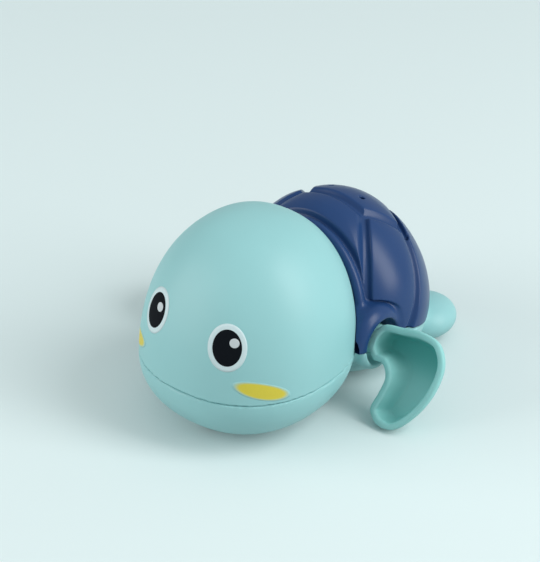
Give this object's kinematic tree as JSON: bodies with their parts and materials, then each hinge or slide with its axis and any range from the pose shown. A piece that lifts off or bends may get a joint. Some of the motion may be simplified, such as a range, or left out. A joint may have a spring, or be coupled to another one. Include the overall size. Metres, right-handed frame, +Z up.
{
  "type": "wind-up bath turtle",
  "caption": "Clockwork swimming turtle for the bath, with a large round head, a domed shell with raised scutes and dished paddle flippers turned by a common axle.",
  "frame": {"origin": "middle of the belly's flat, on the surface that the toy stands on", "axes": "+Z up, -Y ahead through the face, +X to the turtle's left; the flippers turn about a line along X"},
  "size_m": [0.0978, 0.0952, 0.0573],
  "materials": {
    "teal_moulding": "satin moulded plastic",
    "navy_moulding": "glossy moulded plastic",
    "mint_moulding": "satin moulded plastic",
    "bush_plastic": "plain acetal",
    "steel": "plain bright steel",
    "brass": "cut brass",
    "spring_steel": "blued spring steel"
  },
  "bodies": {
    "case": {"head_cover": "teal_moulding", "carapace": "navy_moulding", "lower_hull": "teal_moulding", "case_screw_front": "steel", "case_screw_rear_left": "steel", "case_screw_rear_right": "steel", "axle_bush_left": "bush_plastic", "axle_bush_right": "bush_plastic", "mainspring": "spring_steel", "spring_post": "steel", "motor_plate_left": "steel", "motor_plate_right": "steel", "motor_pillar_upper": "steel", "motor_pillar_lower": "steel", "motor_screw_left": "steel", "motor_screw_right": "steel"},
    "drive": {"drive_axle": "steel", "axle_pinion": "brass", "flipper_left": "mint_moulding", "flipper_right": "mint_moulding"},
    "intermediate": {"intermediate_arbor": "steel", "intermediate_wheel": "brass", "intermediate_pinion": "brass"},
    "spring_drive": {"spring_arbor": "steel", "great_wheel": "brass"}
  },
  "joints": [
    {"name": "flipper_turn", "type": "hinge", "parent": "case", "child": "drive", "pos_m": [0, -0.0121, 0.0186], "axis": [1, 0, 0], "continuous": true},
    {"name": "intermediate_turn", "type": "hinge", "parent": "case", "child": "intermediate", "pos_m": [0, -0.00827, 0.0287], "axis": [1, 0, 0], "continuous": true},
    {"name": "spring_turn", "type": "hinge", "parent": "case", "child": "spring_drive", "pos_m": [0, 0.007, 0.0236], "axis": [1, 0, 0], "continuous": true}
  ],
  "couplings": [
    {"joint": "intermediate_turn", "follows": "flipper_turn", "ratio": -0.5},
    {"joint": "spring_turn", "follows": "flipper_turn", "ratio": 0.13889}
  ]
}
